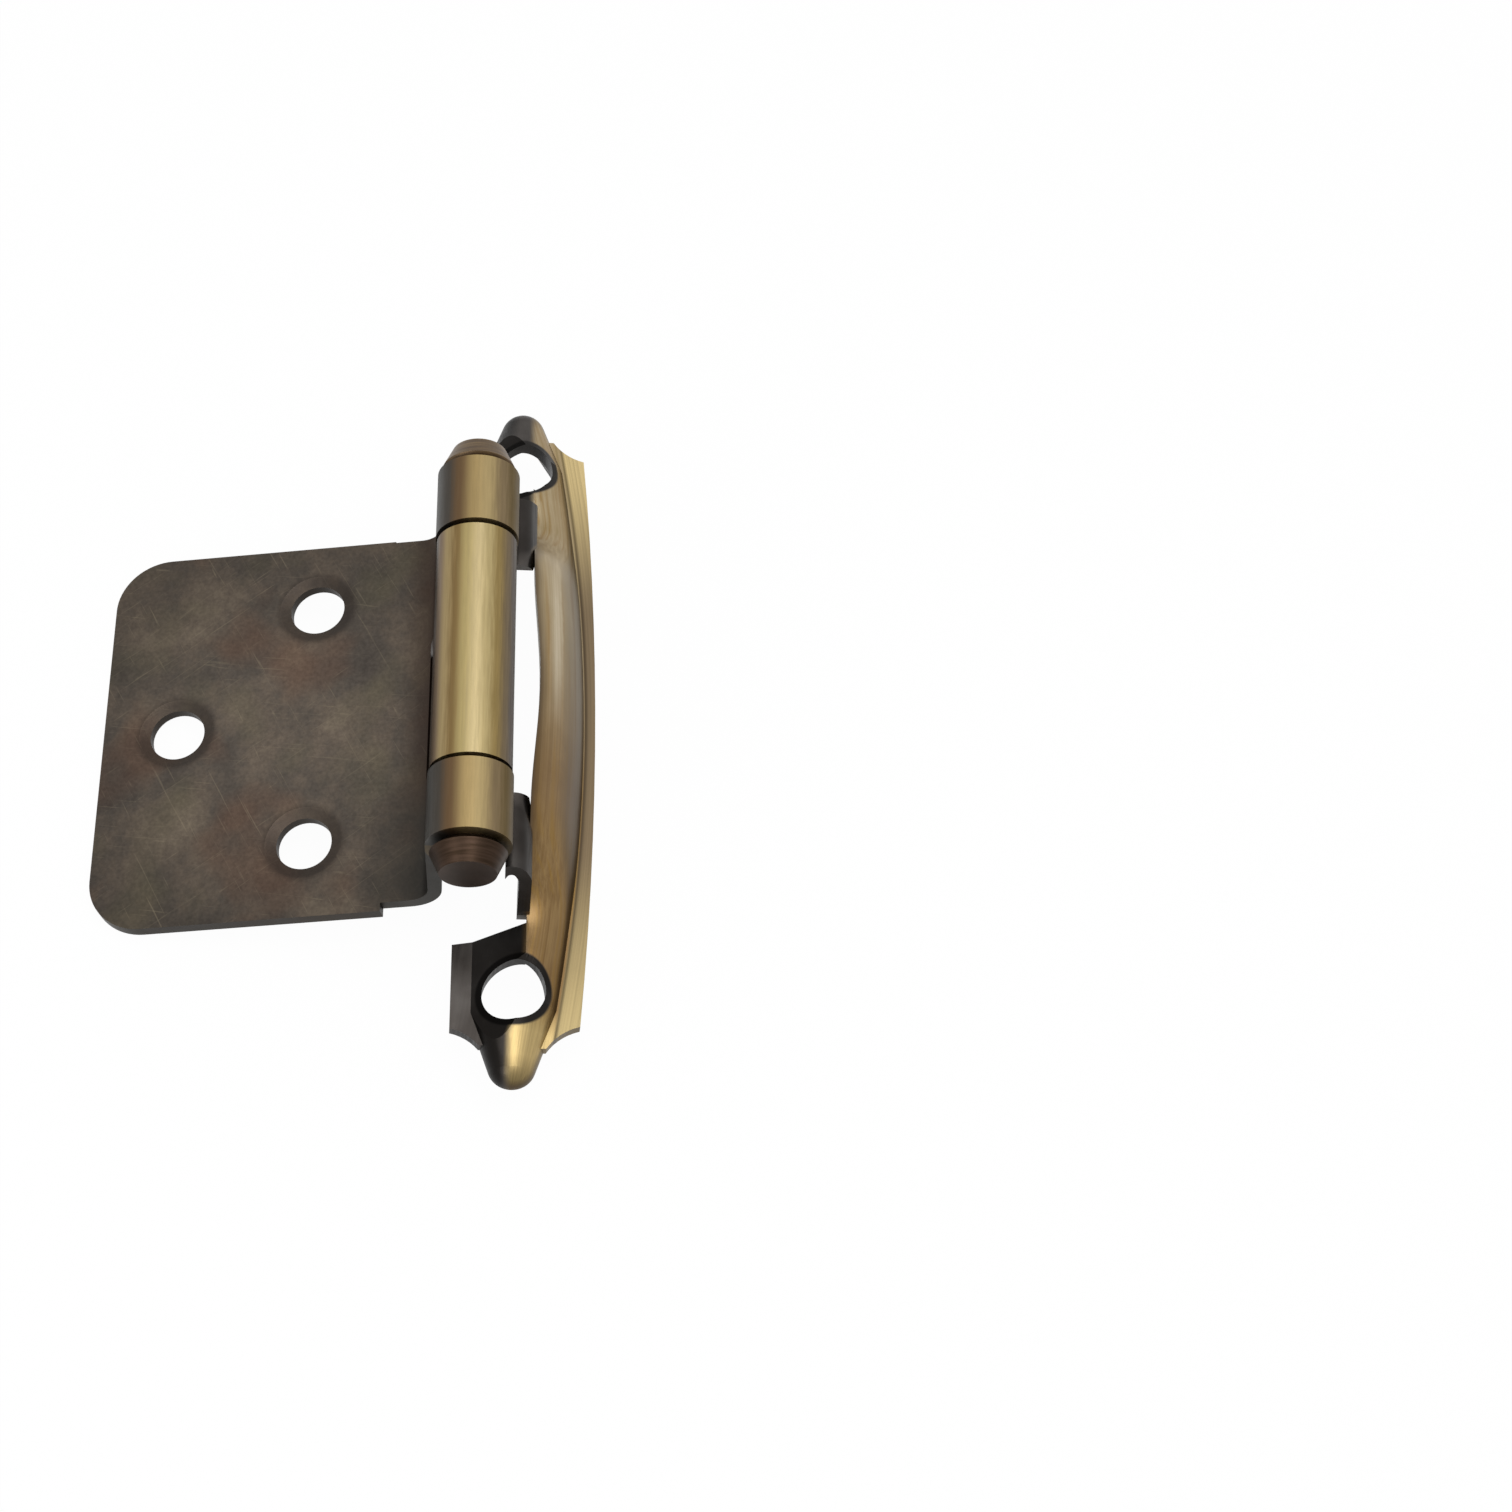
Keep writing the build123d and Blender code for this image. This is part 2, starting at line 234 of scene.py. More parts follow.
def ridge_gold(tree, leaf):
    """Buffed gold on the flank of the ridge: painted pale on the upper half where the light falls,
    and browner in painted shade on the other.
    """
    streak_share = 0.65
    shade_start = -9.0
    shade_full = 11.0
    ochre_length = 20.0
    ochre_a_radian = 9.0
    ochre_width = 1.25
    ochre_range = (0.5, 0.66)
    ochre_share = 0.6
    blend = add(tree, "ShaderNodeMath", {
        0: leaf.streaks, 1: streak_share,
        2: add(tree, "ShaderNodeMath", {
            0: leaf.clouds, 1: 1 - streak_share}, operation="MULTIPLY").outputs[0],
    }, operation="MULTIPLY_ADD").outputs[0]
    # Painted light: the upper end of the ridge is lit paler and the lower end shaded browner
    lit_ramp = add(tree, "ShaderNodeValToRGB", {0: blend})
    set_ramp(lit_ramp.color_ramp, ((0.36, "#95835f"), (0.50, "#a29070"), (0.66, "#b2a284")))
    shaded_ramp = add(tree, "ShaderNodeValToRGB", {0: blend})
    set_ramp(shaded_ramp.color_ramp, ((0.36, "#735a3a"), (0.50, "#806745"), (0.66, "#917852")))
    shaded_half = add(tree, "ShaderNodeMapRange", {
        "Value": leaf.x, "From Min": shade_start, "From Max": shade_full,
    }, interpolation_type="SMOOTHSTEP").outputs[0]
    gold = add(tree, "ShaderNodeMix", {
        0: shaded_half, 6: lit_ramp.outputs[0], 7: shaded_ramp.outputs[0],
    }, data_type="RGBA").outputs[2]
    # Ochre streaks, about a millimetre wide and 2 cm long, where the plating went thin
    thin = add(tree, "ShaderNodeTexNoise", {
        "Vector": add(tree, "ShaderNodeVectorMath", {
            0: leaf.along_ridge, 1: (1 / ochre_length, ochre_a_radian, 1 / ochre_width),
        }, operation="MULTIPLY").outputs[0],
        "Scale": 1.0, "Detail": 2.0}).outputs[0]
    ochre = add(tree, "ShaderNodeMapRange", {
        "Value": thin, "From Min": ochre_range[0], "From Max": ochre_range[1],
        "To Max": ochre_share}).outputs[0]
    gold = add(tree, "ShaderNodeMix", {
        0: ochre, 6: gold, 7: to_linear("#8a6c38")}, data_type="RGBA").outputs[2]
    # Painted light and shade on the flank: darker where it faces sideways, lighter where it turns up
    flank_painted_shade = add(tree, "ShaderNodeValToRGB", {0: leaf.round_flank})
    set_ramp(flank_painted_shade.color_ramp, (
        (0.02, "#9c9c9c"), (0.10, "#acacac"), (0.15, "#cecece"), (0.20, "#ffffff"),
        (0.46, "#f4f4f4")))
    return add(tree, "ShaderNodeVectorMath", {
        0: gold, 1: flank_painted_shade.outputs[0]}, operation="MULTIPLY").outputs[0]


def ridge_wear(tree, leaf, gold):
    """Marks on the buffed ridge: painted shade along the crest, a painted highlight streak, and the
    two finials.
    """
    crest_band = (-0.8, -0.15)
    crest_share = 0.65
    crest_reach = (19.0, 14.0)
    # The painted highlight's angles are shares of a half turn, and its places are millimetres
    glint_angles = (0.18, 0.205, 0.21, 0.235)
    glint_reach = (-15.0, -9.0, -3.0, 4.0)
    finial_start = 28.0
    finial_full = 30.5
    finial_share = 0.85
    tip_start = 32.5
    tip_tone = 0.3
    # Painted shade darkens the arched part of the crest
    crest_shade = add(tree, "ShaderNodeMath", {
        0: add(tree, "ShaderNodeMapRange", {
            "Value": leaf.above_crest, "From Min": crest_band[0], "From Max": crest_band[1],
            "To Max": crest_share}).outputs[0],
        1: add(tree, "ShaderNodeMapRange", {
            "Value": leaf.along, "From Min": crest_reach[0], "From Max": crest_reach[1],
        }).outputs[0],
    }, operation="MULTIPLY").outputs[0]
    gold = add(tree, "ShaderNodeMix", {
        0: crest_shade, 6: gold, 7: to_linear("#4a3a27")}, data_type="RGBA").outputs[2]
    # A painted highlight: a pale streak beside the crest where the flank reflects a strip of light,
    # broken up by the brush streaks
    painted_glint = leaf.streaks
    for value, (start, full, full_end, end) in (
        (leaf.round_flank, glint_angles), (leaf.x, glint_reach)
    ):
        for low, high in ((start, full), (end, full_end)):
            painted_glint = add(tree, "ShaderNodeMath", {
                0: painted_glint, 1: add(tree, "ShaderNodeMapRange", {
                    "Value": value, "From Min": low, "From Max": high}).outputs[0],
            }, operation="MULTIPLY").outputs[0]
    gold = add(tree, "ShaderNodeMix", {
        0: painted_glint, 6: gold, 7: to_linear("#d3c8b2")}, data_type="RGBA").outputs[2]
    # One finial is buffed to pale gold, and both darken towards the tip
    finial = add(tree, "ShaderNodeMapRange", {
        "Value": leaf.x, "From Min": finial_start, "From Max": finial_full,
        "To Max": finial_share}).outputs[0]
    finial_gold = add(tree, "ShaderNodeVectorMath", {
        0: to_linear("#b8a271")[:3], 1: leaf.streak_tone}, operation="MULTIPLY").outputs[0]
    gold = add(tree, "ShaderNodeMix", {
        0: finial, 6: gold, 7: finial_gold}, data_type="RGBA").outputs[2]
    towards_tip = add(tree, "ShaderNodeMapRange", {
        "Value": leaf.along, "From Min": tip_start, "From Max": finial_end,
        "To Min": 1.0, "To Max": tip_tone}).outputs[0]
    return add(tree, "ShaderNodeVectorMath", {
        0: gold, 1: towards_tip}, operation="MULTIPLY").outputs[0]


def flange_over(tree, leaf, gold):
    """Lays the flange's colours over the ridge's: dark in the middle in the painted shadow of the
    tall flank, bright at its two ends.
    """
    shadow_fade_start = 11.0
    shadow_fade_full = 30.5
    shade_start = 12.0
    shade_full = 24.0
    lower_end_shade_tone = 0.64
    foot_fade = (-0.05, 0.1)
    top_fade = (0.3, 0.1)
    crease_fade = (0.4, 0.15)
    crease_share = 0.7
    steep = (0.6, 0.25)
    rim_fade = (0.3, -0.1)
    edge_share = 0.7
    # Painted shadow: the tall arched flank shades the middle of the flange
    out_of_flank_shadow = add(tree, "ShaderNodeMapRange", {
        "Value": leaf.along, "From Min": shadow_fade_start, "From Max": shadow_fade_full,
    }, interpolation_type="SMOOTHSTEP").outputs[0]
    plain = add(tree, "ShaderNodeMix", {
        0: out_of_flank_shadow, 6: to_linear("#6e5f4a"), 7: to_linear("#bda97a")}, data_type="RGBA").outputs[2]
    # Painted shade also darkens the flange towards its lower end
    lower_end_shade = add(tree, "ShaderNodeMapRange", {
        "Value": leaf.x, "From Min": shade_start, "From Max": shade_full,
        "To Min": 1.0, "To Max": lower_end_shade_tone}).outputs[0]
    for tone in (leaf.streak_tone, lower_end_shade):
        plain = add(tree, "ShaderNodeVectorMath", {
            0: plain, 1: tone}, operation="MULTIPLY").outputs[0]
    on_flange = add(tree, "ShaderNodeMath", {
        0: add(tree, "ShaderNodeMapRange", {
            "Value": leaf.past_foot, "From Min": foot_fade[0], "From Max": foot_fade[1],
        }).outputs[0],
        1: add(tree, "ShaderNodeMapRange", {
            "Value": leaf.z, "From Min": flange_top + top_fade[0],
            "From Max": flange_top + top_fade[1]}).outputs[0],
    }, operation="MULTIPLY").outputs[0]
    gold = add(tree, "ShaderNodeMix", {
        0: on_flange, 6: gold, 7: plain}, data_type="RGBA").outputs[2]
    # Plating stays in the crease at the foot of the flank
    crease = add(tree, "ShaderNodeMath", {
        0: on_flange, 1: add(tree, "ShaderNodeMapRange", {
            "Value": leaf.past_foot, "From Min": crease_fade[0], "From Max": crease_fade[1],
            "To Max": crease_share}).outputs[0],
    }, operation="MULTIPLY").outputs[0]
    gold = add(tree, "ShaderNodeMix", {
        0: crease, 6: gold, 7: to_linear("#33291f")}, data_type="RGBA").outputs[2]
    # The cut edge of the flange and the rims of the finials are dark
    level = add(tree, "ShaderNodeMath", {0: leaf.facing[2]}, operation="ABSOLUTE").outputs[0]
    cut_edge = add(tree, "ShaderNodeMath", {
        0: add(tree, "ShaderNodeMapRange", {
            "Value": level, "From Min": steep[0], "From Max": steep[1],
            "To Max": edge_share}).outputs[0],
        1: add(tree, "ShaderNodeMapRange", {
            "Value": leaf.z, "From Min": flange_top + rim_fade[0],
            "From Max": flange_top + rim_fade[1]}).outputs[0],
    }, operation="MULTIPLY").outputs[0]
    return add(tree, "ShaderNodeMix", {
        0: cut_edge, 6: gold, 7: to_linear("#43362a")}, data_type="RGBA").outputs[2]


def charcoal_over(tree, leaf, gold):
    """Lays charcoal plating over the gold on every face that the buffing wheel missed.

    These are the barrel side of the crest, the tabs, the arms and the walls of the screw holes, some
    of them darkened further by painted shade.
    """
    finial_reach = 4.0
    finial_side = 1.3
    crest_fade = (-0.5, 0.4)
    above_fade = (0.5, 0.2)
    ring_fade = 0.12
    hole_shade_tone = 0.3
    barrel_side_shade_range = (-0.15, -0.5)
    barrel_side_shade_tone = 0.26
    arm_shade_fade = 0.4
    arm_shade_tone = 0.62
    crest_line = add(tree, "ShaderNodeMapRange", {
        "Value": leaf.along, "From Max": arch_half,
        "To Min": crest_y + crest_bow, "To Max": crest_y}, interpolation_type="SMOOTHSTEP")
    past_hole = add(tree, "ShaderNodeMapRange", {
        "Value": leaf.x, "From Min": frame_hole_x, "From Max": frame_hole_x + finial_reach,
        "To Max": finial_side})
    border = add(tree, "ShaderNodeMath", {
        0: crest_line.outputs[0], 1: past_hole.outputs[0]}, operation="SUBTRACT")
    beyond_crest = add(tree, "ShaderNodeMath", {
        0: leaf.y, 1: border.outputs[0]}, operation="SUBTRACT")
    outer_side = add(tree, "ShaderNodeMapRange", {
        "Value": beyond_crest.outputs[0], "From Min": crest_fade[0], "From Max": crest_fade[1],
    }, interpolation_type="SMOOTHSTEP").outputs[0]
    below_arms = add(tree, "ShaderNodeMapRange", {
        "Value": leaf.above_crest, "From Min": above_fade[0], "From Max": above_fade[1],
    }, interpolation_type="SMOOTHSTEP").outputs[0]
    from_hole = add(tree, "ShaderNodeCombineXYZ", {
        0: add(tree, "ShaderNodeMath", {
            0: leaf.along, 1: frame_hole_x}, operation="SUBTRACT").outputs[0],
        1: leaf.y})
    off_hole = add(tree, "ShaderNodeVectorMath", {0: from_hole.outputs[0]}, operation="LENGTH")
    off_ring = add(tree, "ShaderNodeMapRange", {
        "Value": off_hole.outputs["Value"], "From Min": frame_ring_radius - ring_fade,
        "From Max": frame_ring_radius + ring_fade}, interpolation_type="SMOOTHSTEP").outputs[0]
    buffed = outer_side
    for mask in (below_arms, off_ring):
        buffed = add(tree, "ShaderNodeMath", {
            0: buffed, 1: mask}, operation="MULTIPLY").outputs[0]
    dull_ramp = add(tree, "ShaderNodeValToRGB", {0: leaf.clouds})
    set_ramp(dull_ramp.color_ramp, ((0.36, "#3f3b38"), (0.50, "#4b4744"), (0.64, "#585552")))
    # Painted shade darkens the charcoal further where the sheet faces the barrel, inside the holes
    # and on the arms beneath the knuckles
    barrel_side_shade = add(tree, "ShaderNodeMapRange", {
        "Value": leaf.facing[1], "From Min": barrel_side_shade_range[0], "From Max": barrel_side_shade_range[1],
        "To Min": 1.0, "To Max": barrel_side_shade_tone}).outputs[0]
    hole_shade = add(tree, "ShaderNodeMapRange", {
        "Value": off_ring, "To Min": hole_shade_tone, "To Max": 1.0}).outputs[0]
    arm_shade = add(tree, "ShaderNodeMapRange", {
        "Value": leaf.above_crest, "From Min": 0.0, "From Max": arm_shade_fade,
        "To Min": 1.0, "To Max": arm_shade_tone}).outputs[0]
    dull = dull_ramp.outputs[0]
    for tone in (barrel_side_shade, hole_shade, arm_shade):
        dull = add(tree, "ShaderNodeVectorMath", {
            0: dull, 1: tone}, operation="MULTIPLY").outputs[0]
    return add(tree, "ShaderNodeMix", {0: buffed, 6: dull, 7: gold}, data_type="RGBA").outputs[2]


def frame_leaf_finish():
    """Antique brass on the frame leaf: gold-brown where buffed, charcoal in the hollows.

    The eye sees long brushed streaks on the ridge and flange, and dull black-brown elsewhere.
    Highlight and shade are also painted into these colours.
    """
    smooth = 0.34
    rough = 0.5
    finish, tree = new_finish("antique_brass_brushed_ridge")
    leaf = frame_leaf_guides(tree)
    gold = ridge_gold(tree, leaf)
    gold = ridge_wear(tree, leaf, gold)
    gold = flange_over(tree, leaf, gold)
    sheet = charcoal_over(tree, leaf, gold)
    # Painted highlight bands on top of the middle knuckle and painted shade down its sides, over the
    # buffed gold
    lit_roll, on_roll = barrel_gold_and_painted_light(tree, middle_radius, (
        (0.00, "#3c342b"), (0.12, "#463c33"), (0.22, "#6e5f48"), (0.32, "#8c784c"),
        (0.40, "#a6956a"), (0.485, "#b4a37a"), (0.59, "#a59465"), (0.67, "#7d6742"),
        (0.76, "#99865f"), (0.855, "#715f4b"), (0.945, "#4a4038"), (1.00, "#3f372f")))
    whole = add(tree, "ShaderNodeMix", {
        0: on_roll, 6: sheet, 7: lit_roll}, data_type="RGBA").outputs[2]
    worn = add(tree, "ShaderNodeMapRange", {
        "Value": leaf.streaks, "From Min": noise_low, "From Max": noise_high,
        "To Min": smooth, "To Max": rough}).outputs[0]
    metal_surface(tree, whole, worn, leaf.streaks)
    return finish


def stained_plate(tree, place, clouds, grain):
    """Plating of the door plate: clouded, stained reddish and olive, with a fine grain."""
    stain_width = 10.0
    stain_share = 0.45
    other_patch = (31.0, 7.0, 0.0)
    grain_contrast = 0.12
    cloud_ramp = add(tree, "ShaderNodeValToRGB", {0: clouds})
    set_ramp(cloud_ramp.color_ramp, (
        (0.30, "#403b37"), (0.44, "#4b453f"), (0.56, "#584f46"), (0.72, "#6a6053")))
    plain = cloud_ramp.outputs[0]
    # Stains: reddish in some patches and olive in others, each about a centimetre wide
    hue = add(tree, "ShaderNodeTexNoise", {
        "Vector": add(tree, "ShaderNodeVectorMath", {
            0: place, 1: other_patch}, operation="ADD").outputs[0],
        "Scale": 1 / stain_width, "Detail": 2.0, "Roughness": 0.5}).outputs[0]
    for start, full, colour in ((0.54, 0.68, "#5a4336"), (0.46, 0.32, "#565141")):
        share = add(tree, "ShaderNodeMapRange", {
            "Value": hue, "From Min": start, "From Max": full, "To Max": stain_share}).outputs[0]
        plain = add(tree, "ShaderNodeMix", {
            0: share, 6: plain, 7: to_linear(colour)}, data_type="RGBA").outputs[2]
    grain_tone = add(tree, "ShaderNodeMapRange", {
        "Value": grain, "From Min": noise_low, "From Max": noise_high,
        "To Min": 1 - grain_contrast, "To Max": 1 + grain_contrast}).outputs[0]
    return add(tree, "ShaderNodeVectorMath", {
        0: plain, 1: grain_tone}, operation="MULTIPLY").outputs[0]


def plate_wear(tree, place, on_plate, plain):
    """Marks on the door plate: paler in the middle, scratched, dark round the screw holes."""
    pale_radius = 5.0
    rim_radius = 21.0
    pale_tone = 1.2
    rim_tone = 0.84
    scratch_length = 8.0
    scratch_width = 0.22
    scratch_bend = 1.1
    scratch_range = (0.69, 0.77)
    scratches = ((28.0, 0.26), (-55.0, 0.22), (80.0, 0.2))
    ring_outside = 0.5
    ring_inside = 0.4
    ring_share = 0.6
    # The plate is paler in the middle and darker towards its rim
    from_middle = add(tree, "ShaderNodeVectorMath", {
        0: on_plate, 1: plate_middle}, operation="DISTANCE").outputs["Value"]
    middle_to_rim_tone = add(tree, "ShaderNodeMapRange", {
        "Value": from_middle, "From Min": pale_radius, "From Max": rim_radius,
        "To Min": pale_tone, "To Max": rim_tone}).outputs[0]
    plain = add(tree, "ShaderNodeVectorMath", {
        0: plain, 1: middle_to_rim_tone}, operation="MULTIPLY").outputs[0]
    # Scratches in three directions, some 8 mm long, and drawn a fifth of a millimetre wide to show
    for turn_deg, share in scratches:
        laid = add(tree, "ShaderNodeMapping", {
            "Vector": place, "Rotation": (0.0, 0.0, math.radians(turn_deg)),
            "Scale": (scratch_length, scratch_width, 1.0)}, vector_type="TEXTURE")
        marks = add(tree, "ShaderNodeTexNoise", {
            "Vector": laid.outputs[0], "Scale": 1.0, "Detail": 1.0,
            "Distortion": scratch_bend}).outputs[0]
        line = add(tree, "ShaderNodeMapRange", {
            "Value": marks, "From Min": scratch_range[0], "From Max": scratch_range[1],
            "To Max": share}).outputs[0]
        plain = add(tree, "ShaderNodeMix", {
            0: line, 6: plain, 7: to_linear("#877c68")}, data_type="RGBA").outputs[2]
    # The pressed rings round the screw holes stay dark
    for hole_x, hole_y in (
        (door_hole_x, door_hole_y), (-door_hole_x, door_hole_y), (0.0, door_hole_far)
    ):
        from_hole = add(tree, "ShaderNodeVectorMath", {
            0: on_plate, 1: (hole_x, hole_y, 0.0)}, operation="DISTANCE")
        ring = add(tree, "ShaderNodeMapRange", {
            "Value": from_hole.outputs["Value"], "From Min": door_ring_radius + ring_outside,
            "From Max": door_ring_radius - ring_inside, "To Max": ring_share,
        }, interpolation_type="SMOOTHSTEP")
        plain = add(tree, "ShaderNodeMix", {
            0: ring.outputs[0], 6: plain, 7: to_linear("#302a26")}, data_type="RGBA").outputs[2]
    return plain


def plate_edges(tree, x, y, plain):
    """Dark edges of the door plate: its cut edges, and painted shade on the strip beside the barrel.
    """
    steep = (0.75, 0.4)
    edge_share = 0.75
    edge_start = door_wall_y - 3.0
    edge_full = door_wall_y - 4.0
    end_start = 6.0
    end_full = 11.0
    strip_by_knuckle = door_wall_y - 4.4
    strip_at_end = door_wall_y - 7.8
    strip_full = door_wall_y - 0.8
    barrel_shade_share = 0.9
    # The cut edges of the plate and the walls of its holes stay dark
    facing = add(tree, "ShaderNodeSeparateXYZ", {
        0: add(tree, "ShaderNodeTexCoord").outputs["Normal"]}).outputs
    level = add(tree, "ShaderNodeMath", {0: facing[2]}, operation="ABSOLUTE").outputs[0]
    cut_edge = add(tree, "ShaderNodeMath", {
        0: add(tree, "ShaderNodeMapRange", {
            "Value": level, "From Min": steep[0], "From Max": steep[1],
            "To Max": edge_share}).outputs[0],
        1: add(tree, "ShaderNodeMapRange", {
            "Value": y, "From Min": edge_start, "From Max": edge_full}).outputs[0],
    }, operation="MULTIPLY").outputs[0]
    plain = add(tree, "ShaderNodeMix", {
        0: cut_edge, 6: plain, 7: to_linear("#29241f")}, data_type="RGBA").outputs[2]
    # Painted shade beside the barrel darkens the plate: reddish along the middle knuckle, grey at one
    # end
    near_end = add(tree, "ShaderNodeMapRange", {
        "Value": x, "From Min": end_start, "From Max": end_full}).outputs[0]
    barrel_shade_colour = add(tree, "ShaderNodeMix", {
        0: near_end, 6: to_linear("#35271f"), 7: to_linear("#2d2c29")}, data_type="RGBA").outputs[2]
    strip_start = add(tree, "ShaderNodeMapRange", {
        "Value": near_end, "To Min": strip_by_knuckle, "To Max": strip_at_end}).outputs[0]
    barrel_shade = add(tree, "ShaderNodeMapRange", {
        "Value": y, "From Min": strip_start, "From Max": strip_full,
        "To Max": barrel_shade_share}).outputs[0]
    return add(tree, "ShaderNodeMix", {
        0: barrel_shade, 6: plain, 7: barrel_shade_colour}, data_type="RGBA").outputs[2]


def door_leaf_finish():
    """Antique brass on the door leaf: brown-grey and clouded, with fine pale scratches.

    The plate was tumbled, not buffed, so thin marks run over the stained dark plating.
    """
    cloud_width = 8.33
    grain_width = 1 / 3
    smooth = 0.4
    rough = 0.55
    finish, tree = new_finish("antique_brass_tumbled_plate")
    place = leaf_place(tree, over_close_deg, (pin_y, pin_z))
    x, y = add(tree, "ShaderNodeSeparateXYZ", {0: place}).outputs[:2]
    on_plate = add(tree, "ShaderNodeCombineXYZ", {0: x, 1: y}).outputs[0]
    # Clouds are about 8 mm wide, and the grain of the plating a third of a millimetre
    clouds = add(tree, "ShaderNodeTexNoise", {
        "Vector": place, "Scale": 1 / cloud_width, "Detail": 7.0, "Roughness": 0.7}).outputs[0]
    grain = add(tree, "ShaderNodeTexNoise", {
        "Vector": place, "Scale": 1 / grain_width, "Detail": 2.0, "Roughness": 0.6}).outputs[0]
    plain = stained_plate(tree, place, clouds, grain)
    plain = plate_wear(tree, place, on_plate, plain)
    plain = plate_edges(tree, x, y, plain)
    # Painted highlight along the top of the outer knuckles and painted shade down their sides, over
    # the buffed gold
    lit_roll, on_roll = barrel_gold_and_painted_light(tree, outer_radius, (
        (0.00, "#4d4230"), (0.18, "#5f4e2b"), (0.305, "#7c6b50"), (0.42, "#998760"),
        (0.545, "#937f57"), (0.655, "#66513a"), (0.77, "#45403a"), (0.90, "#4f4e4b"),
        (1.00, "#3c3a37")))
    whole = add(tree, "ShaderNodeMix", {
        0: on_roll, 6: plain, 7: lit_roll}, data_type="RGBA").outputs[2]
    worn = add(tree, "ShaderNodeMapRange", {
        "Value": clouds, "From Min": noise_low, "From Max": noise_high,
        "To Min": smooth, "To Max": rough}).outputs[0]
    metal_surface(tree, whole, worn, grain)
    return finish


def turned_finish(name, dark, light, line_width, roughness):
    """Dark plated steel with fine lighter lines across the pin's length, from turning or rolling."""
    line_length = 3.33
    finish, tree = new_finish(name)
    place = leaf_place(tree)
    lines = add(tree, "ShaderNodeTexNoise", {
        "Vector": add(tree, "ShaderNodeVectorMath", {
            0: place, 1: (1 / line_width, 1 / line_length, 1 / line_length),
        }, operation="MULTIPLY").outputs[0],
        "Scale": 1.0, "Detail": 4.0}).outputs[0]
    tone = add(tree, "ShaderNodeValToRGB", {0: lines})
    set_ramp(tone.color_ramp, ((0.32, dark), (0.68, light)))
    metal_surface(tree, tone.outputs[0], roughness, lines)
    return finish


def dress(node, finish):
    """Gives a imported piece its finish, and shades its round faces smoothly."""
    piece = frame["nodes"][node]
    piece.data.materials.clear()
    piece.data.materials.append(finish)
    piece.data.shade_smooth()


# The pin is drawn steel and nearly black, the spring dark tempered strip with a dull shine.
# The tips are turned, so fine rings show on them, and the upper one is painted a lighter brown as
# painted light falling on it from above and behind.
finishes = {
    "frame_leaf": frame_leaf_finish(),
    "door_leaf": door_leaf_finish(),
    "hinge_pin": turned_finish(
        "drawn_steel_pin", "#241d18", "#3a3028", line_width=0.4, roughness=0.45),
    "closing_spring": turned_finish(
        "tempered_spring_steel", "#342a25", "#40352e", line_width=0.25, roughness=0.42),
    "pin_tip_left": turned_finish(
        "antique_brass_turned_tip_lit", "#57483a", "#746148", line_width=0.2, roughness=0.4),
    "pin_tip_right": turned_finish(
        "antique_brass_turned_tip", "#30251c", "#41332a", line_width=0.2, roughness=0.4),
}
for node, finish in finishes.items():
    dress(node, finish)


def seen_directly(tree):
    """One for rays from the camera and for those that metal or glass sends on, else zero."""
    ray = add(tree, "ShaderNodeLightPath").outputs
    seen = ray["Is Camera Ray"]
    for kind in ("Is Glossy Ray", "Is Transmission Ray"):
        seen = add(tree, "ShaderNodeMath", {0: seen, 1: ray[kind]}, operation="MAXIMUM").outputs[0]
    return seen


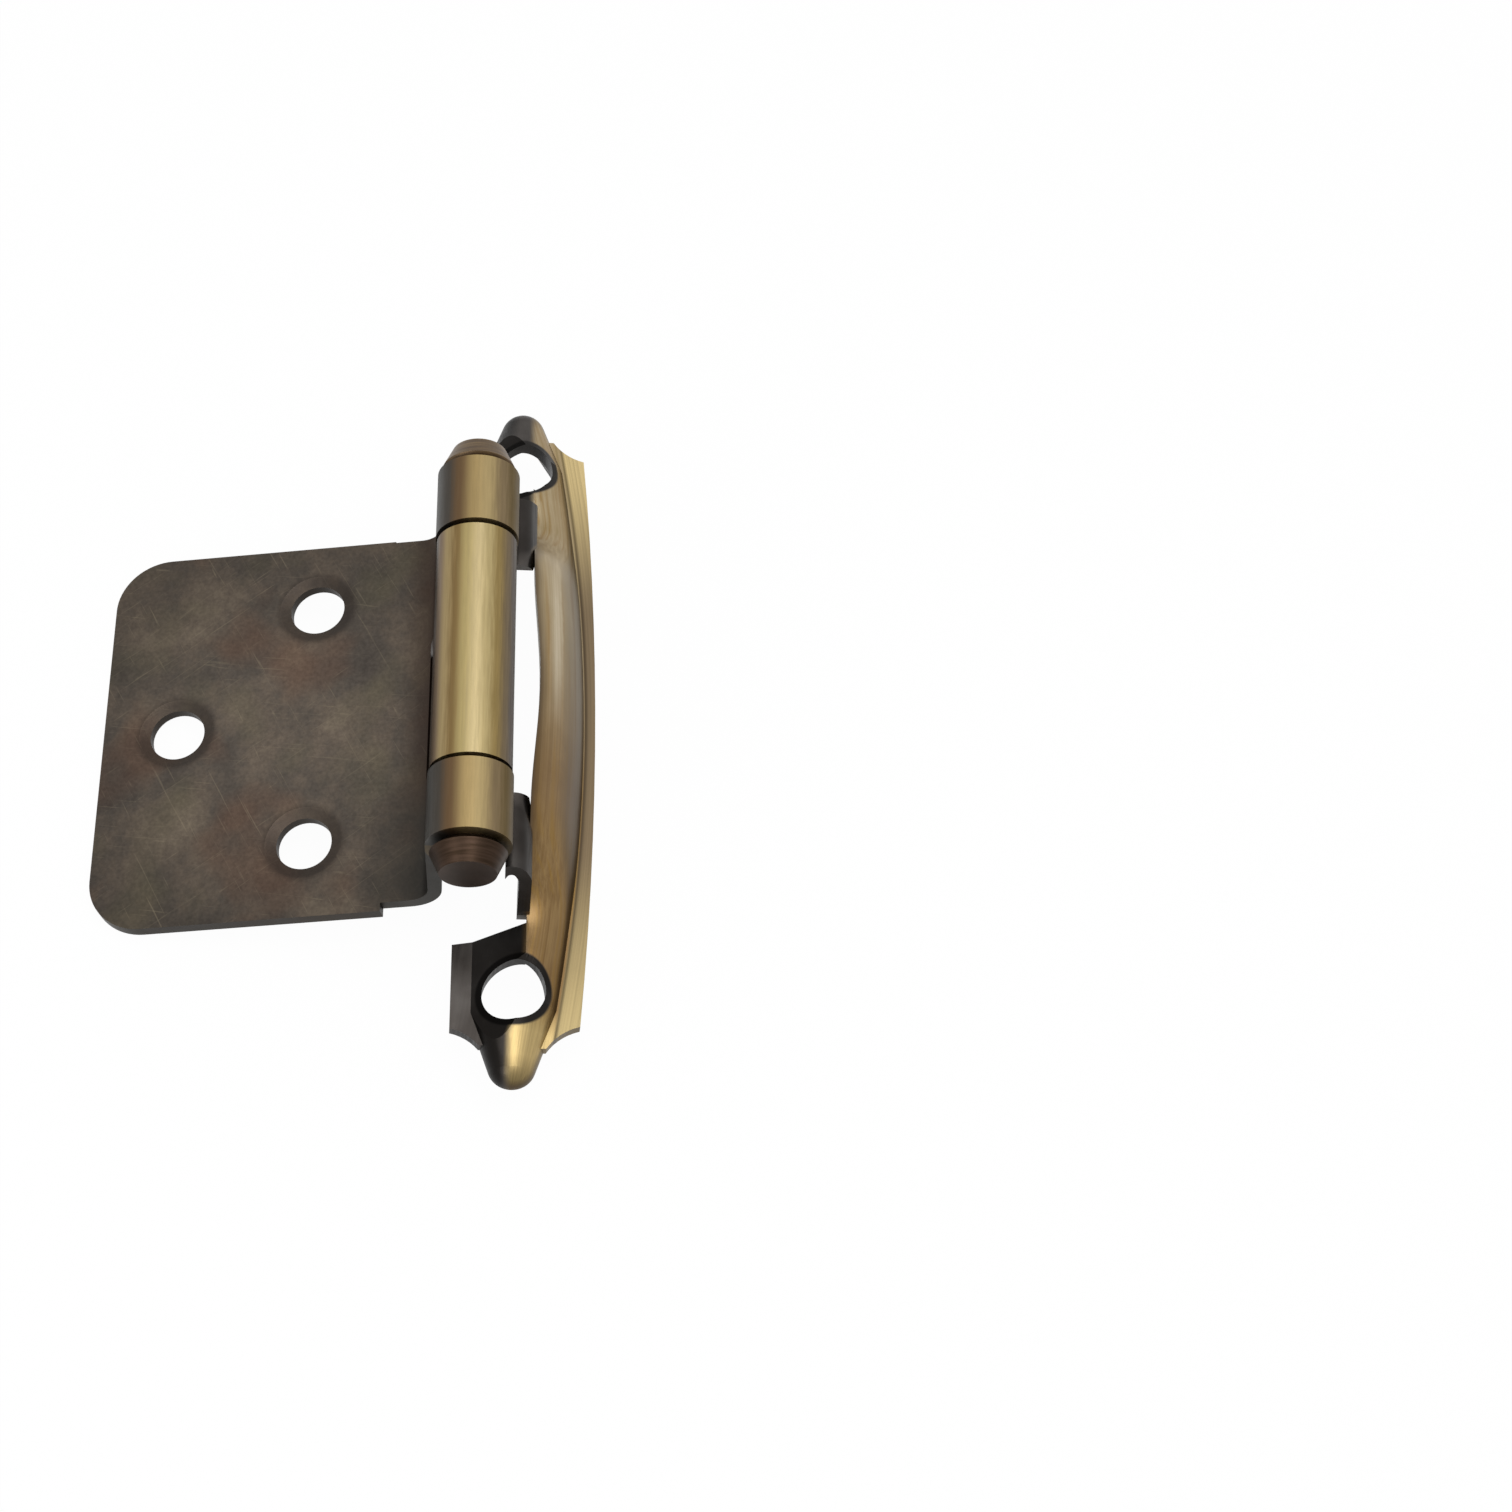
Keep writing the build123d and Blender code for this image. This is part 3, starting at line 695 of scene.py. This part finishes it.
# Floor: white to the camera and in reflections, plain white paper to the light
floor_half = 2.0
floor_glow = 0.97
white = (1, 1, 1, 1)
bpy.ops.mesh.primitive_plane_add(size=2 * floor_half, location=(0, 0, cad_box[0][2]))
floor = bpy.context.object
floor.name = "floor"
paper, paper_tree = new_finish("white_paper_floor")
sheet = add(paper_tree, "ShaderNodeBsdfDiffuse", {"Color": to_linear("#e8e8e8")})
glow = add(paper_tree, "ShaderNodeEmission", {"Color": white, "Strength": 1.0})
shown_floor = add(paper_tree, "ShaderNodeMixShader", {
    0: add(paper_tree, "ShaderNodeMath", {
        0: seen_directly(paper_tree), 1: floor_glow}, operation="MULTIPLY").outputs[0],
    1: sheet.outputs[0], 2: glow.outputs[0]})
add(paper_tree, "ShaderNodeOutputMaterial", {"Surface": shown_floor.outputs[0]})
floor.data.materials.append(paper)

# World: white to the camera and in reflections, softer as a light
sky_light = 0.6
sky_seen = 1.0
world = bpy.data.worlds.new("soft_studio")
bpy.context.scene.world = world
world.use_nodes = True
sky = world.node_tree
sky.nodes.clear()
sky_level = add(sky, "ShaderNodeMapRange", {
    "Value": seen_directly(sky), "To Min": sky_light, "To Max": sky_seen})
backdrop = add(sky, "ShaderNodeBackground", {"Color": white, "Strength": sky_level.outputs[0]})
add(sky, "ShaderNodeOutputWorld", {"Surface": backdrop.outputs[0]})


def add_softbox(name, spot_mm, side_mm, power):
    """A square soft lamp, placed in millimetres and aimed at the barrel."""
    aim_mm = (0, -5, 0)
    lamp = bpy.data.lights.new(name, "AREA")
    lamp.size = side_mm * MM
    lamp.energy = power
    held = bpy.data.objects.new(name, lamp)
    bpy.context.scene.collection.objects.link(held)
    spot = Vector(spot_mm) * MM
    aim = Vector(aim_mm) * MM
    held.location = spot
    held.rotation_euler = (aim - spot).to_track_quat("-Z", "Y").to_euler()


add_softbox("overhead", spot_mm=(30, 40, 420), side_mm=260, power=0.9)
add_softbox("side", spot_mm=(260, -260, 240), side_mm=200, power=0.5)

# Camera at the photo's viewing angle
camera_spot = Vector((123.49, -6.37, 220.69)) * MM
camera_forward = Vector((-0.4804, 0.1112, -0.8700)).normalized()
camera_up = Vector((-0.8767, -0.0326, 0.4800))
camera_lens = 65.77
camera_sensor = 36.0
view = bpy.data.cameras.new("view")
view.lens = camera_lens
view.sensor_width = camera_sensor
view.clip_start = MM
view_holder = bpy.data.objects.new("view", view)
bpy.context.scene.collection.objects.link(view_holder)
side = camera_forward.cross(camera_up).normalized()
upright = side.cross(camera_forward)
view_holder.matrix_world = Matrix.Translation(camera_spot) @ Matrix(
    (side, upright, -camera_forward)).transposed().to_4x4()
bpy.context.scene.camera = view_holder

bpy.context.scene.view_settings.view_transform = "Standard"
